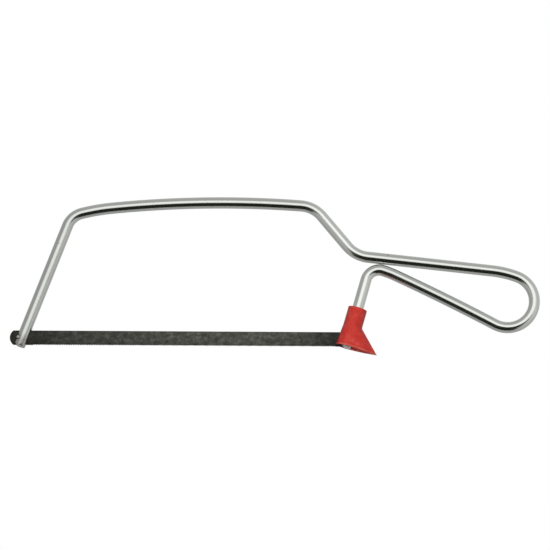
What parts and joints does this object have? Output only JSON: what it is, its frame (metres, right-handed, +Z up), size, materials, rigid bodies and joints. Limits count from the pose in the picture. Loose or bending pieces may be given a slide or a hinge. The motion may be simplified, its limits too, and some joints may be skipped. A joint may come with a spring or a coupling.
{
  "type": "hacksaw",
  "caption": "Junior hacksaw: a one-piece bent wire bow frame and loop handle, a thin pinned blade held in slotted leg ends, and a sliding moulded guard over the rear blade pin.",
  "frame": {"origin": "centre of the front blade pin, in the saw's middle plane", "axes": "+X runs back along the blade towards the handle, +Z is up from the blade to the bow, +Y is across the saw"},
  "size_m": [0.2379, 0.0088, 0.0722],
  "materials": {
    "plated_wire": "bright plated, fine polishing marks",
    "blade_steel": "black oxide, satin, slightly mottled",
    "pin_steel": "plain turned",
    "guard_plastic": "moulded, satin"
  },
  "bodies": {
    "frame": {"wire_frame": "plated_wire"},
    "blade": {"blade": "blade_steel", "front_blade_pin": "pin_steel", "rear_blade_pin": "pin_steel"},
    "guard": {"blade_guard": "guard_plastic"}
  },
  "joints": [
    {"name": "blade_swing", "type": "hinge", "parent": "frame", "child": "blade", "pos_m": [0, 0, 0], "axis": [0, 1, 0], "range_deg": [0, 90]},
    {"name": "guard_slide", "type": "slide", "parent": "frame", "child": "guard", "axis": [0.2656, 0, 0.9641], "range_m": [0, 0.011]}
  ]
}
